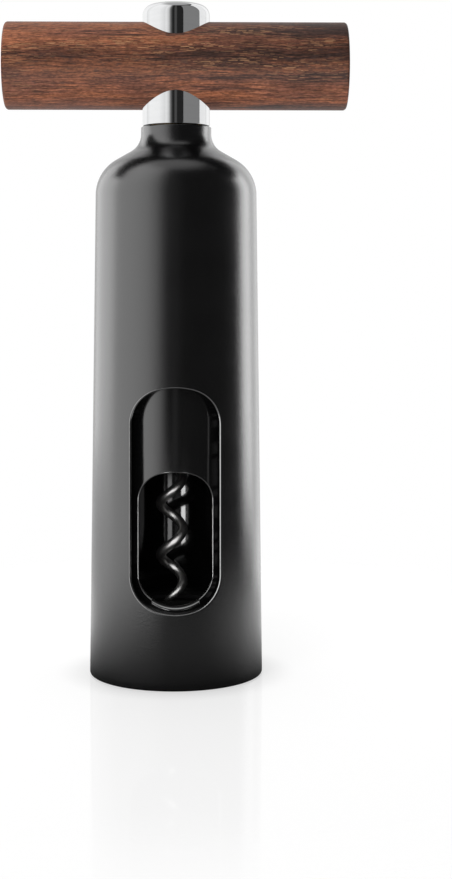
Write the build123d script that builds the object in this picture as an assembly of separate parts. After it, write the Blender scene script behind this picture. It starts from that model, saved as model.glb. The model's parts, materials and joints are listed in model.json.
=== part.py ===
from build123d import *
import math
import os

# Self-pulling corkscrew. Millimetres, +Z up, origin on the floor at the centre of the base.
# The window faces -Y and the handle lies along X.

# Shared fits
overrun = 1.0  # how far a cutting solid passes the face that it cuts
end_play = 0.1  # gap between faces that move on each other along Z
running_gap = 0.05  # radial clearance of a shaft in its bush
sliding_gap = 0.3  # radial clearance of the sleeve in the casing
hole_gap = 0.2  # radial clearance of a through hole

# Bottle and cork
bottle_rim_radius = 15.25
bottle_gap = 0.35
cork_hole_radius = 13.0
mouth_depth = 12.2  # how far the bottle's mouth enters the sleeve

# Neck guide and gasket, in the sleeve's foot
guide_wall = 2.6
seat_thickness = 2.0
seat_funnel = 1.0
lead_in = 1.0
gasket_thickness = 1.2
gasket_step = 0.2  # how far the gasket's hole stands back from the cork hole
gasket_rebate = 0.4  # how far the gasket's rim reaches into a groove round the socket

# Sleeve
sleeve_wall = 2.0
sleeve_window_half_width = 10.3
sleeve_window_height = 37.0
sleeve_window_sill = 3.3  # sleeve window's lowest point above the seat
sleeve_window_corner = 8.0
sleeve_head = 58.4  # sleeve above its window
sleeve_edge = 0.5
lip_half_width = 6.55
lip_arch = 13.4  # radius of the bevelled lip's lower edge
lip_drop = 1.25  # how far the lip is cut down at the sleeve's outer face
lip_inner_drop = 0.45  # the same behind the bevel
lip_depth = 0.8  # how far the bevel reaches into the wall
sleeve_travel = 22.4

# Guide ribs of the casing and the grooves that they run in
rib_height = 1.1
rib_width = 3.0
rib_gap = 0.25

# Casing
casing_wall = 2.9  # at the shoulder, where it is thinnest
base_flare = 1.7  # how much wider the casing is at its foot
ceiling_thickness = 4.85  # from the ceiling up to where taper and shoulder cone would meet
shoulder_slope = 30.0  # degrees above level
shoulder_blend = 11.8
neck_blend = 6.0
neck_rise = 5.45  # neck above the corner where cone and neck would meet
neck_edge = 0.35
base_edge = 0.6
window_low_margin = 1.85  # casing window below the sleeve window, with the sleeve at its lower stop
window_high_margin = 1.5  # casing window above the sleeve window, with the sleeve at its upper stop
window_half_width = 12.3
window_corner = 10.0
window_arch = 19.0  # radius of both windows' shallow end arcs
window_edge = 0.45

# Base ring, snapped into the casing's foot
ring_recess = 0.8
ring_height = 3.5
ring_wall = 3.4
ring_step = 1.2  # how much wider the ring is than the casing's bore
ring_bead = 0.5
ring_edge = 0.4

# Spindle, bushes and washers
spindle_radius = 4.95
bush_wall = 1.5
bush_length = 6.0
bush_flange_width = 1.9
bush_flange_thickness = 1.2
neck_wall = 1.85  # plastic round the upper bush's flange
thrust_washer_thickness = 1.0
thrust_washer_margin = 0.4
retaining_washer_thickness = 1.0
circlip_thickness = 1.0
circlip_width = 2.8
circlip_bite = 0.9  # depth of its groove in the spindle
circlip_opening = 3.0
spindle_edge = 0.5

# Worm
wire_radius = 1.4
worm_mean_radius = 3.2
worm_pitch = 15.2
worm_turns = 4.4
worm_run_out_turns = 0.5  # last turn fraction in which the helix closes on its axis
worm_start_angle = -104.0  # degrees from +X, where the ground cone of the point starts
worm_offset = -1.3  # how far the helix's own axis lies along X from the spindle's
worm_tip_gap = 2.0  # centre of the wire there, above the seat
worm_taper_turns = 0.25  # first turn fraction, over which the wire gets thicker
worm_taper_radius = 0.95  # wire radius where the cone of the point starts
worm_point_length = 2.6
worm_point_radius = 0.2
worm_shank_length = 9.0
worm_shank_straight = 1.0  # shank between the run out and the spindle
screw_radius = 1.25
screw_length = 3.2
screw_spacing = 4.4
screw_socket_radius = 0.65
screw_socket_depth = 1.2

# Handle, post and cap
post_step = 0.45  # how much narrower the post is than the neck
post_seam = 0.25  # gap between neck and post
post_show = 4.85  # post between the seam and the handle's underside
post_edge = 0.3
handle_radius = 12.8
handle_length = 99.6
handle_edge = 0.9
web_share = 0.48  # of the depth to which the wood covers the post's side, left solid in the middle
cap_show = 5.4  # cap above the handle
cap_rim = 3.0
cap_dome = 0.4
stud_radius = 4.0
stud_engagement = 9.0
post_pin_radius = 1.0
drive_pin_radius = 1.25
drive_pin_length = 7.6
drive_pin_offset_share = 0.7  # of the post's radius

# Radii, worked outwards from the bottle
guide_bore_radius = bottle_rim_radius + bottle_gap
gasket_radius = guide_bore_radius + gasket_rebate
guide_radius = guide_bore_radius + guide_wall
sleeve_radius = guide_radius + sleeve_wall
casing_bore_radius = sleeve_radius + sliding_gap
shoulder_radius = casing_bore_radius + casing_wall
base_radius = shoulder_radius + base_flare
ring_radius = casing_bore_radius + ring_step
ring_bore_radius = ring_radius - ring_wall
rib_tip_radius = casing_bore_radius - rib_height
bush_bore_radius = spindle_radius + running_gap
bush_radius = bush_bore_radius + bush_wall
flange_radius = bush_radius + bush_flange_width
neck_radius = flange_radius + neck_wall
post_radius = neck_radius - post_step
groove_radius = spindle_radius - circlip_bite

# Heights, worked upwards from the floor
ring_top = ring_recess + ring_height
sleeve_bottom = ring_top + end_play
gasket_bottom = sleeve_bottom + mouth_depth
gasket_top = gasket_bottom + gasket_thickness
seat_top = gasket_top + seat_thickness
sleeve_window_bottom = seat_top + sleeve_window_sill
sleeve_window_top = sleeve_window_bottom + sleeve_window_height
sleeve_top = sleeve_window_top + sleeve_head
window_bottom = sleeve_window_bottom - window_low_margin
window_top = sleeve_window_top + sleeve_travel + window_high_margin
ceiling = sleeve_top + sleeve_travel + end_play
shoulder_height = ceiling + ceiling_thickness
cone_rise = (shoulder_radius - neck_radius) * math.tan(math.radians(shoulder_slope))
neck_top = shoulder_height + cone_rise + neck_rise
post_bottom = neck_top + post_seam
handle_axis = post_bottom + post_show + handle_radius
cover_depth = math.sqrt(handle_radius ** 2 - post_radius ** 2)
web_half_height = web_share * cover_depth
post_pin_height = handle_axis - (web_half_height + cover_depth) / 2
post_top = handle_axis - web_half_height
cap_bottom = handle_axis + web_half_height
cap_top = handle_axis + handle_radius + cap_show
lower_bush_bottom = ceiling - bush_flange_thickness
retaining_washer_bottom = lower_bush_bottom - retaining_washer_thickness
circlip_top = retaining_washer_bottom - end_play
worm_start = seat_top + worm_tip_gap
run_out_top = worm_start + (worm_turns + worm_run_out_turns) * worm_pitch
spindle_bottom = run_out_top + worm_shank_straight


def tube(outer, inner, bottom, top):
    """A plain tube round the Z axis."""
    height = top - bottom
    wall = Circle(outer) - Circle(inner)
    return extrude(Pos(0, 0, bottom) * wall, height)


def rod(radius, bottom, top):
    """A plain cylinder round the Z axis."""
    return extrude(Pos(0, 0, bottom) * Circle(radius), top - bottom)


def edges_at(part, height, radius):
    """The round edges of a part that have one height and one radius."""
    tolerance = end_play / 10
    rings = part.edges().filter_by(GeomType.CIRCLE)
    return [e for e in rings if abs(e.center().Z - height) < tolerance
            and abs(e.radius - radius) < tolerance]


def window_cutter(half_width, corner, bottom, top, reach):
    """A tall window's solid: straight sides, shallow arched ends and round corners, cut along Y."""
    sagitta = window_arch - math.sqrt(window_arch ** 2 - half_width ** 2)
    low = bottom + sagitta
    high = top - sagitta
    with BuildSketch(Plane.XZ) as outline:
        with BuildLine():
            Line((-half_width, low), (-half_width, high))
            ThreePointArc((-half_width, high), (0, top), (half_width, high))
            Line((half_width, high), (half_width, low))
            ThreePointArc((half_width, low), (0, bottom), (-half_width, low))
        make_face()
        fillet(outline.vertices(), corner)
    return extrude(outline.sketch, reach)


def casing():
    """Bell shaped shell with its neck, window, guide ribs and the seats for ring and bushes."""
    with BuildPart() as shell:
        with BuildSketch(Plane.XZ):
            with BuildLine():
                outside = FilletPolyline(
                    (base_radius, 0),
                    (shoulder_radius, shoulder_height),
                    (neck_radius, shoulder_height + cone_rise),
                    (neck_radius, neck_top),
                    radius=[shoulder_blend, neck_blend],
                )
                Polyline(outside @ 1, (0, neck_top), (0, 0), outside @ 0)
            make_face()
        revolve(axis=Axis.Z)
    body = shell.part
    body = fillet(edges_at(body, neck_top, neck_radius), neck_edge)
    body = fillet(edges_at(body, 0, base_radius), base_edge)
    window = window_cutter(
        window_half_width, window_corner, window_bottom, window_top, base_radius + overrun)
    bore = rod(casing_bore_radius, -overrun, ceiling)
    body -= bore
    body -= window
    body = fillet(window_rim(body), window_edge)
    body -= rod(ring_radius, -overrun, ring_top)
    body -= ring_bead_solid()
    body -= rod(bush_radius, ceiling - overrun, neck_top + overrun)
    body -= rod(flange_radius, neck_top - bush_flange_thickness, neck_top + overrun)
    body += guide_ribs()
    return body


def window_rim(body):
    """The edges of the casing's window on its outer face."""
    middle_radius = (casing_bore_radius + shoulder_radius) / 2
    rim = []
    for edge in body.edges():
        place = edge @ 0.5
        outside = math.hypot(place.X, place.Y) > middle_radius
        if outside and window_bottom - overrun < place.Z < window_top + overrun:
            rim.append(edge)
    return rim


def guide_ribs():
    """Two ribs on the casing's bore that keep the sleeve from turning."""
    band = tube(casing_bore_radius + casing_wall / 2, rib_tip_radius, ring_top, ceiling)
    bar = Pos(0, 0, (ring_top + ceiling) / 2) * Box(2 * base_radius, rib_width, ceiling - ring_top)
    return band & bar


def ring_bead_solid():
    """The round bead that snaps the base ring into the casing."""
    height = ring_recess + ring_height / 2
    return Pos(0, 0, height) * Torus(ring_radius, ring_bead)


def base_ring():
    """Ring in the casing's foot that stops the sleeve."""
    ring = tube(ring_radius, ring_bore_radius, ring_recess, ring_top)
    ring = chamfer(edges_at(ring, ring_recess, ring_bore_radius), ring_edge)
    return ring + ring_bead_solid()


def guide_sleeve():
    """Tube that slides in the casing, with its window, bevelled lip and two grooves."""
    sleeve = tube(sleeve_radius, guide_radius, sleeve_bottom, sleeve_top)
    sleeve = chamfer(edges_at(sleeve, sleeve_top, sleeve_radius), sleeve_edge)
    sleeve = chamfer(edges_at(sleeve, sleeve_bottom, sleeve_radius), sleeve_edge)
    sleeve -= window_cutter(
        sleeve_window_half_width, sleeve_window_corner, sleeve_window_bottom, sleeve_window_top,
        sleeve_radius + overrun)
    sleeve -= lip_cutter()
    middle = (sleeve_bottom + sleeve_top) / 2
    height = sleeve_top - sleeve_bottom + 2 * overrun
    width = rib_width + 2 * rib_gap
    bars = Pos(0, 0, middle) * Box(2 * base_radius, width, height)
    outside = tube(base_radius, rib_tip_radius - rib_gap, sleeve_bottom - overrun, sleeve_top + overrun)
    return sleeve - (bars & outside)


def lip_cutter():
    """Cone about a radial axis, and a cylinder behind it, that bite into the sill of the sleeve's window."""
    slope = (lip_drop - lip_inner_drop) / lip_depth
    length = lip_depth + overrun
    wide = lip_arch + slope * overrun
    narrow = wide - slope * length
    height = sleeve_window_bottom - lip_drop + lip_arch
    from_start = (Align.CENTER, Align.CENTER, Align.MIN)
    cone = Pos(0, -sleeve_radius - overrun, height) * Rot(-90, 0, 0) * Cone(wide, narrow, length, align=from_start)
    behind = Pos(0, -sleeve_radius + lip_depth, height) * Rot(-90, 0, 0) * Cylinder(
        narrow, 2 * sleeve_wall, align=from_start)
    bar = Pos(0, -sleeve_radius, sleeve_window_bottom) * Box(
        2 * lip_half_width, sleeve_radius, sleeve_window_corner)
    return (cone + behind) & bar


def neck_guide():
    """Insert with the bottle socket, the seat and the funnel that leads the cork up."""
    guide = tube(guide_radius, cork_hole_radius, sleeve_bottom, seat_top)
    guide -= rod(guide_bore_radius, sleeve_bottom - overrun, gasket_bottom)
    guide -= rod(gasket_radius, gasket_bottom, gasket_top)
    guide = chamfer(edges_at(guide, sleeve_bottom, guide_bore_radius), lead_in)
    return chamfer(edges_at(guide, gasket_top, cork_hole_radius), seat_funnel)


def seat_gasket():
    """Rubber ring under the seat."""
    return tube(gasket_radius, cork_hole_radius + gasket_step, gasket_bottom, gasket_top)


def upper_bush():
    """Flanged bush let into the top of the neck."""
    barrel = tube(bush_radius, bush_bore_radius, neck_top - bush_length, neck_top)
    return barrel + tube(flange_radius, bush_bore_radius, neck_top - bush_flange_thickness, neck_top)


def lower_bush():
    """Flanged bush pressed up into the casing's ceiling."""
    barrel = tube(bush_radius, bush_bore_radius, lower_bush_bottom, lower_bush_bottom + bush_length)
    return barrel + tube(flange_radius, bush_bore_radius, lower_bush_bottom, ceiling)


def thrust_washer():
    """Washer that carries the post on the upper bush."""
    outer = flange_radius - thrust_washer_margin
    return tube(outer, bush_bore_radius, neck_top, neck_top + thrust_washer_thickness)


def retaining_washer():
    """Washer between the lower bush and the circlip."""
    return tube(flange_radius, bush_bore_radius, retaining_washer_bottom, lower_bush_bottom)


def circlip():
    """Open ring in the spindle's groove."""
    ring = tube(groove_radius + circlip_width, groove_radius, circlip_top - circlip_thickness, circlip_top)
    slot_length = groove_radius + circlip_width + overrun
    slot = Pos(slot_length / 2, 0, circlip_top) * Box(slot_length, circlip_opening, 2 * circlip_thickness
                                                     + overrun)
    return ring - slot


def worm_centre(turns):
    """Centre of the worm's wire, that many turns above its start."""
    angle = math.radians(worm_start_angle + 360 * turns)
    past = max(0.0, (turns - worm_turns) / worm_run_out_turns)
    opened = (1 + math.cos(math.pi * min(past, 1.0))) / 2
    side = worm_offset + worm_mean_radius * math.cos(angle)
    depth = worm_mean_radius * math.sin(angle)
    return Vector(opened * side, opened * depth, worm_start + worm_pitch * turns)


def worm_direction(turns):
    """Direction of the wire there, from two centres close by."""
    step = 0.0001
    return (worm_centre(turns + step) - worm_centre(turns - step)).normalized()


def biarc(start, start_direction, end, end_direction):
    """Two arcs that meet smoothly and leave both points in the given directions."""
    chord = end - start
    both = start_direction + end_direction
    spread = 2 * (1 - start_direction.dot(end_direction))
    along = chord.dot(both)
    reach = (math.sqrt(along ** 2 + spread * chord.dot(chord)) - along) / spread
    first_corner = start + start_direction * reach
    last_corner = end - end_direction * reach
    middle = (first_corner + last_corner) * 0.5
    middle_direction = (last_corner - first_corner).normalized()
    return [
        TangentArc(start, middle, tangent=start_direction),
        TangentArc(middle, end, tangent=middle_direction),
    ]


def worm():
    """Right-handed wire helix with a tapered start and a ground point, closing on its axis into a shank."""
    steps_per_turn = 8
    steps = round((worm_turns + worm_run_out_turns) * steps_per_turn)
    places = [i * (worm_turns + worm_run_out_turns) / steps for i in range(steps + 1)]
    centres = [worm_centre(t) for t in places]
    directions = [worm_direction(t) for t in places]
    directions[-1] = Vector(0, 0, 1)
    arcs = []
    for i in range(steps):
        arcs += biarc(centres[i], directions[i], centres[i + 1], directions[i + 1])
    full = round(worm_taper_turns * steps_per_turn)
    start = Plane(centres[0], z_dir=directions[0]) * Circle(worm_taper_radius)
    end = Plane(centres[full], z_dir=directions[full]) * Circle(wire_radius)
    taper = sweep([start, end], path=Wire(arcs[:2 * full]), multisection=True)
    shank_end = Vector(0, 0, spindle_bottom + worm_shank_length)
    wire = sweep(end, path=Wire(arcs[2 * full:] + [Line(centres[-1], shank_end)]))
    point = Plane(centres[0], z_dir=-directions[0]) * Cone(
        worm_taper_radius, worm_point_radius, worm_point_length,
        align=(Align.CENTER, Align.CENTER, Align.MIN))
    return wire + taper + point


def screw_heights():
    """Heights of the two grub screws that hold the worm."""
    middle = spindle_bottom + worm_shank_length / 2
    return [middle - screw_spacing / 2, middle + screw_spacing / 2]


def side_rod(start, height, radius, length):
    """A short rod along +X that starts that far from the Z axis."""
    return Pos(start, 0, height) * Rot(0, 90, 0) * Cylinder(
        radius, length, align=(Align.CENTER, Align.CENTER, Align.MIN))


def spindle():
    """Stepped shaft with the worm's socket, the circlip's groove and the stud for the cap."""
    shaft = rod(spindle_radius, spindle_bottom, post_top)
    shaft = chamfer(edges_at(shaft, spindle_bottom, spindle_radius), spindle_edge)
    shaft += rod(stud_radius, post_top, cap_bottom + stud_engagement)
    shaft -= rod(wire_radius, spindle_bottom - overrun, spindle_bottom + worm_shank_length)
    shaft -= tube(spindle_radius + overrun, groove_radius, circlip_top - circlip_thickness, circlip_top)
    for height in screw_heights():
        shaft -= side_rod(0, height, screw_radius, spindle_radius + overrun)
    return shaft - post_pin()


def worm_screws():
    """Two grub screws with round sockets."""
    screws = []
    for height in screw_heights():
        screw = side_rod(wire_radius, height, screw_radius, screw_length)
        socket_start = wire_radius + screw_length - screw_socket_depth
        screws.append(screw - side_rod(socket_start, height, screw_socket_radius, screw_length))
    return Compound(children=screws)


def post_pin():
    """Cross pin through post and spindle, covered by the wood."""
    length = 2 * (post_radius - post_edge)
    return Pos(0, 0, post_pin_height) * Rot(90, 0, 0) * Cylinder(post_pin_radius, length)


def drive_pins():
    """Two dowels, half in the post and half in the handle."""
    offset = post_radius * drive_pin_offset_share
    pins = [Pos(side * offset, 0, post_top) * Cylinder(drive_pin_radius, drive_pin_length)
            for side in (-1, 1)]
    return Compound(children=pins)


def handle_post():
    """Chromed post from the neck up to the wood's inner web."""
    post = tube(post_radius, spindle_radius, post_bottom, post_top)
    post = fillet(edges_at(post, post_bottom, post_radius), post_edge)
    washer_top = neck_top + thrust_washer_thickness
    post -= rod(flange_radius, post_bottom - overrun, washer_top + end_play)
    return post - post_pin() - drive_pins()


def post_cap():
    """Chromed cap above the web, with a rounded rim and a faintly domed top."""
    flat_radius = post_radius - cap_rim
    with BuildPart() as cap:
        with BuildSketch(Plane.XZ):
            with BuildLine():
                Line((0, cap_bottom), (post_radius, cap_bottom))
                Line((post_radius, cap_bottom), (post_radius, cap_top - cap_dome - cap_rim))
                rim = RadiusArc((post_radius, cap_top - cap_dome - cap_rim),
                                (flat_radius, cap_top - cap_dome), -cap_rim)
                dome_radius = (flat_radius ** 2 + cap_dome ** 2) / (2 * cap_dome)
                RadiusArc(rim @ 1, (0, cap_top), -dome_radius)
                Line((0, cap_top), (0, cap_bottom))
            make_face()
        revolve(axis=Axis.Z)
    return cap.part - rod(stud_radius, cap_bottom - overrun, cap_bottom + stud_engagement)


def wooden_handle():
    """Round bar along X, bored from both sides for post and cap."""
    bar = Pos(0, 0, handle_axis) * Rot(0, 90, 0) * Cylinder(handle_radius, handle_length)
    bar = fillet(bar.edges().filter_by(GeomType.CIRCLE), handle_edge)
    bar -= rod(post_radius, handle_axis - handle_radius - overrun, post_top)
    bar -= rod(post_radius, cap_bottom, handle_axis + handle_radius + overrun)
    bar -= rod(stud_radius + hole_gap, post_top - overrun, cap_bottom + overrun)
    return bar - drive_pins()


makers = [
    casing, base_ring, upper_bush, lower_bush, thrust_washer, retaining_washer,
    guide_sleeve, neck_guide, seat_gasket,
    spindle, circlip, worm, worm_screws, handle_post, post_pin, drive_pins, post_cap, wooden_handle,
]

os.makedirs("parts", exist_ok=True)
for maker in makers:
    name = maker.__name__
    solid = maker()
    export_step(solid, f"parts/{name}.step")
    print(name, round(solid.volume, 1))

# Sizes that the record states
print("bottle socket: radius", guide_bore_radius, "from", sleeve_bottom + lead_in, "to", gasket_bottom)
print("window of the casing", window_bottom, window_top, "window of the sleeve", sleeve_window_bottom,
      sleeve_window_top)
print("seat", seat_top, "ceiling", ceiling, "neck", neck_top, "handle axis", handle_axis, "top", cap_top)
print("radii: base", base_radius, "bore", casing_bore_radius, "sleeve", sleeve_radius, guide_radius)
print("worm", worm_start, run_out_top, "spindle", spindle_bottom)
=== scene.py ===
"""Looks of a self-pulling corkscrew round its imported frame. Metres, +Z up, window towards -Y."""

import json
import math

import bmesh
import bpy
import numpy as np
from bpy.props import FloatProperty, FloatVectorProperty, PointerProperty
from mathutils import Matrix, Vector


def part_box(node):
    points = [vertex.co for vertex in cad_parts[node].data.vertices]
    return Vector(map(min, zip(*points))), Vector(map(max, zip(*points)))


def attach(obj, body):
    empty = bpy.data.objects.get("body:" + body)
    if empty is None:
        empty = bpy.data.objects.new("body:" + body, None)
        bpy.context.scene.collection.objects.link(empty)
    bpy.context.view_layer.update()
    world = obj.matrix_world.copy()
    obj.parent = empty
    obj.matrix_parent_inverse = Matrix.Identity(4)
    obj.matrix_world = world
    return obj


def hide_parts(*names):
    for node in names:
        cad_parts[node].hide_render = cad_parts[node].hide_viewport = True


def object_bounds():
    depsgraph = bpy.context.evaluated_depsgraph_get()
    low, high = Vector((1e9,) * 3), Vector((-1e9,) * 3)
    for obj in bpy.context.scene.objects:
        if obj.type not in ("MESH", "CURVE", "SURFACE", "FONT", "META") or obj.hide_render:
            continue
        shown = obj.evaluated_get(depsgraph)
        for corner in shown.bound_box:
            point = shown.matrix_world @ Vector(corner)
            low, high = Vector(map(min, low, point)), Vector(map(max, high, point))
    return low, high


bl_info = {
    "name": "Self-pulling corkscrew",
    "version": (1, 0, 0),
    "blender": (4, 5, 0),
    "location": "3D View > Sidebar > Corkscrew",
    "description": "Makes a bell-shaped corkscrew's surfaces, finishes and studio "
                   "from its measured frame",
    "category": "Object",
}

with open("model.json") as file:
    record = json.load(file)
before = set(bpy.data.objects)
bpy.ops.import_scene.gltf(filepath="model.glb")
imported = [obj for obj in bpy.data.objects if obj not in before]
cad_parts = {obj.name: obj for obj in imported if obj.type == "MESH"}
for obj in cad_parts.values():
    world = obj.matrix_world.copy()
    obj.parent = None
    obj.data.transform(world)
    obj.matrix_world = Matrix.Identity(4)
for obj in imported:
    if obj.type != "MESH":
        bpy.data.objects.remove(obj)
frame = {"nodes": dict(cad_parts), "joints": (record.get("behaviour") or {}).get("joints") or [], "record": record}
cad_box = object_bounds()


def bottom(node):
    """Lowest point of a node of the frame."""
    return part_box(node)[0].z


def top(node):
    """Highest point of a node of the frame."""
    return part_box(node)[1].z


def radius(node):
    """Radius of a round node of the frame, or half the length of the handle."""
    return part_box(node)[1].x


PHOTO_WIDTH = 452
PHOTO_HEIGHT = 879

SLEEVE_TRAVEL = next(j["range_m"][1] for j in frame["joints"] if j["name"] == "sleeve_slide")
MIDDLE = cad_box[1].z / 2
POST_RADIUS = radius("post_cap")
HANDLE_AXIS = (top("handle_post") + bottom("post_cap")) / 2
BAR_RADIUS = top("wooden_handle") - HANDLE_AXIS
BAR_END = radius("wooden_handle")
FLANGE_SHARE = 0.2  # of a bush's length

# How the surfaces are divided
WELD_DISTANCE = 2e-6
SHARP_ANGLE = math.radians(32)
ROUND_STEPS = 128
PROFILE_STEP = 0.002
BORDER_ANGLE = math.radians(46)  # half the angle of the patch round a window
CORNER_NORMAL = math.radians(58)  # normal of the outline's point that meets the patch's corner
REST_STEPS = 84  # columns beside and behind the patch
COLUMN_GAP = 0.002  # angle on each side of a rib's flank
OUTER_CROWDING = 1.7  # power that draws a face's rings towards the window
INNER_CROWDING = 1.3
BEND_LIMIT = 0.9  # of the cosine of the turn from face to wall at a rim
MIRROR_ACROSS = np.array([-1, 1, -1, 1, -1, 1])
MIRROR_UPWARDS = np.array([1, -1, 1, -1, 1, -1])


# Sizes and colours that a user would change

def length(name, description, default):
    """A length property in metres."""
    return FloatProperty(name=name, description=description, default=default, unit="LENGTH",
                         precision=5)


def angle(name, description, degrees):
    """An angle property, given in degrees."""
    return FloatProperty(name=name, description=description, default=math.radians(degrees),
                         subtype="ANGLE")


def number(name, description, default, **limits):
    """A plain number."""
    return FloatProperty(name=name, description=description, default=default, **limits)


def colour(name, description, default):
    """A linear colour property without alpha."""
    return FloatVectorProperty(name=name, description=description, default=default, size=3,
                               subtype="COLOR", min=0, max=1)


class CORKSCREW_PG_casing(bpy.types.PropertyGroup):
    """The bell-shaped outer shell."""
    base_radius: length("Base radius", "Radius at the foot", 0.0251)
    shoulder_radius: length("Shoulder radius", "Radius where taper and shoulder would meet", 0.0234)
    neck_radius: length("Neck radius", "Radius of the neck", 0.01025)
    bore_radius: length("Bore radius", "Radius of the bore that the sleeve slides in", 0.0205)
    seat_radius: length("Ring seat radius", "Radius of the base ring's seat", 0.0217)
    ceiling_thickness: length("Ceiling", "Ceiling up to the corner of taper and shoulder", 0.00485)
    shoulder_slope: angle("Shoulder slope", "Slope of the shoulder above level", 30)
    shoulder_blend: length("Shoulder blend", "Radius of the convex blend", 0.0118)
    neck_blend: length("Neck blend", "Radius of the hollow blend under the neck", 0.006)
    neck_edge: length("Neck edge", "Edge radius at the top of the neck", 0.00035)
    base_edge: length("Base edge", "Edge radius at the foot", 0.0006)
    bush_radius: length("Bush bore", "Radius of the bore for the bushes", 0.0065)
    window_half_width: length("Window half width", "Half the width of the window", 0.0123)
    window_corner: length("Window corner", "Corner radius of the window", 0.010)
    low_margin: length("Low margin", "Window below the sleeve's window, with the sleeve down",
                       0.00185)
    high_margin: length("High margin", "Window above the sleeve's window, with the sleeve up",
                        0.0015)
    window_edge: length("Window edge", "Radius of the rounded rim", 0.00045)
    brow_depth: length("Brow depth", "Depth of the wall's first step behind the rim", 0.002)
    rib_height: length("Rib height", "Height of the guide ribs", 0.0011)
    rib_width: length("Rib width", "Width of the guide ribs", 0.003)


class CORKSCREW_PG_sleeve(bpy.types.PropertyGroup):
    """The tube that slides in the casing."""
    window_half_width: length("Window half width", "Half the width of the window", 0.0103)
    window_corner: length("Window corner", "Corner radius of the window", 0.008)
    window_arch: length("Window arch", "Radius of both windows' shallow ends", 0.019)
    window_sill: length("Window sill", "Lowest point of the window above the seat", 0.0033)
    window_height: length("Window height", "Height of the window", 0.037)
    window_edge: length("Window edge", "Radius of the broken edge", 0.0003)
    lip_half_width: length("Lip half width", "Half the width of the bevelled lip", 0.00655)
    lip_arch: length("Lip arch", "Radius of the lip's lower edge", 0.0134)
    lip_drop: length("Lip drop", "Depth of the lip at the outer face", 0.00125)
    lip_inner_drop: length("Lip inner drop", "Depth of the lip behind the bevel", 0.00045)
    brow_depth: length("Brow depth", "Depth of the bevel and of the wall's first step", 0.0008)
    groove_gap: length("Groove gap", "Gap between a groove and its rib", 0.00025)


class CORKSCREW_PG_worm(bpy.types.PropertyGroup):
    """The open wire helix."""
    wire_radius: length("Wire radius", "Radius of the wire", 0.0014)
    mean_radius: length("Mean radius", "Radius of the helix at the wire's centre", 0.0032)
    offset: length("Offset", "How far the helix lies along X from the spindle", -0.0013)
    pitch: length("Pitch", "Rise of one turn", 0.0152)
    turns: number("Turns", "Full turns up to the run out", 4.4)
    run_out: number("Run out", "Turn fraction that closes on the axis", 0.5)
    start_angle: angle("Start angle", "Direction of the wire's start from +X", -104)
    start_gap: length("Start gap", "Start of the full wire above the seat", 0.002)
    taper: number("Taper", "First turn fraction, over which the wire gets thicker", 0.25)
    taper_radius: length("Taper radius", "Wire radius where the cone of the point starts", 0.00095)
    point_length: length("Point length", "Length of the ground cone", 0.0026)
    point_radius: length("Point radius", "Radius that the point ends in", 0.0002)


class CORKSCREW_PG_handle(bpy.types.PropertyGroup):
    """The wooden bar and its chromed post and cap."""
    radius: length("Handle radius", "Radius of the wooden bar", 0.0128)
    end_edge: length("End edge", "Edge radius at both ends of the bar", 0.0009)
    bore_edge: length("Bore edge", "Broken edge round post and cap", 0.00014)
    stud_hole: length("Stud hole", "Radius of the hole for the spindle's stud", 0.0042)
    post_edge: length("Post edge", "Edge radius at the foot of the post", 0.0003)
    cap_rim: length("Cap rim", "Radius of the cap's rim", 0.003)
    cap_dome: length("Cap dome", "Rise of the cap's top", 0.0004)
    stud_radius: length("Stud radius", "Radius of the spindle's stud", 0.004)


class CORKSCREW_PG_stage(bpy.types.PropertyGroup):
    """Camera, floor and light."""
    camera_distance: length("Camera distance", "From the worm's axis to the lens", 0.4724)
    camera_height: length("Camera height", "Height of the level camera", 0.1128)
    camera_turn: angle("Camera turn", "How far the camera stands round to the right", 0.6)
    focal_pixels: number("Focal length", "Focal length in pixels of the frame", 1614)
    horizon_row: number("Horizon row", "Row of the frame at the camera's height", 284.9)
    axis_column: number("Axis column", "Column of the frame at the worm's axis", 176.2)
    floor_radius: length("Floor radius", "Radius at which the round floor has faded", 0.2)
    fill_level: number("Fill level", "Brightness of the front panel's face", 2.0, min=0)
    fill_size: length("Fill size", "Side of the square front panel", 1.2)


class CORKSCREW_PG_finish(bpy.types.PropertyGroup):
    """Colours of the finishes."""
    casing: colour("Casing", "Satin black moulding", (0.004, 0.004, 0.0042))
    sleeve: colour("Sleeve", "Smooth black moulding", (0.0035, 0.0035, 0.0037))
    inner: colour("Inner parts", "Plain black moulding", (0.02, 0.02, 0.021))
    rubber: colour("Gasket", "Matt rubber", (0.025, 0.025, 0.025))
    chrome: colour("Chrome", "Polished chrome", (0.5, 0.503, 0.507))
    steel: colour("Steel", "Turned steel", (0.42, 0.43, 0.45))
    brass: colour("Bushes", "Dark sintered bronze", (0.24, 0.17, 0.085))
    worm: colour("Worm", "Dark plated wire", (0.38, 0.375, 0.37))
    wood_dark: colour("Wood, dark streaks", "Charcoal brown", (0.048, 0.028, 0.024))
    wood_middle: colour("Wood, ground", "Red brown", (0.150, 0.060, 0.039))
    wood_bright: colour("Wood, bright streaks", "Orange brown", (0.29, 0.105, 0.052))
    wood_fleck: colour("Wood, flecks", "Pale pore dashes", (0.48, 0.25, 0.125))


# Shapes

def unit(vectors):
    """Vectors scaled to length one."""
    return vectors / np.linalg.norm(vectors, axis=-1, keepdims=True)


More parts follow.
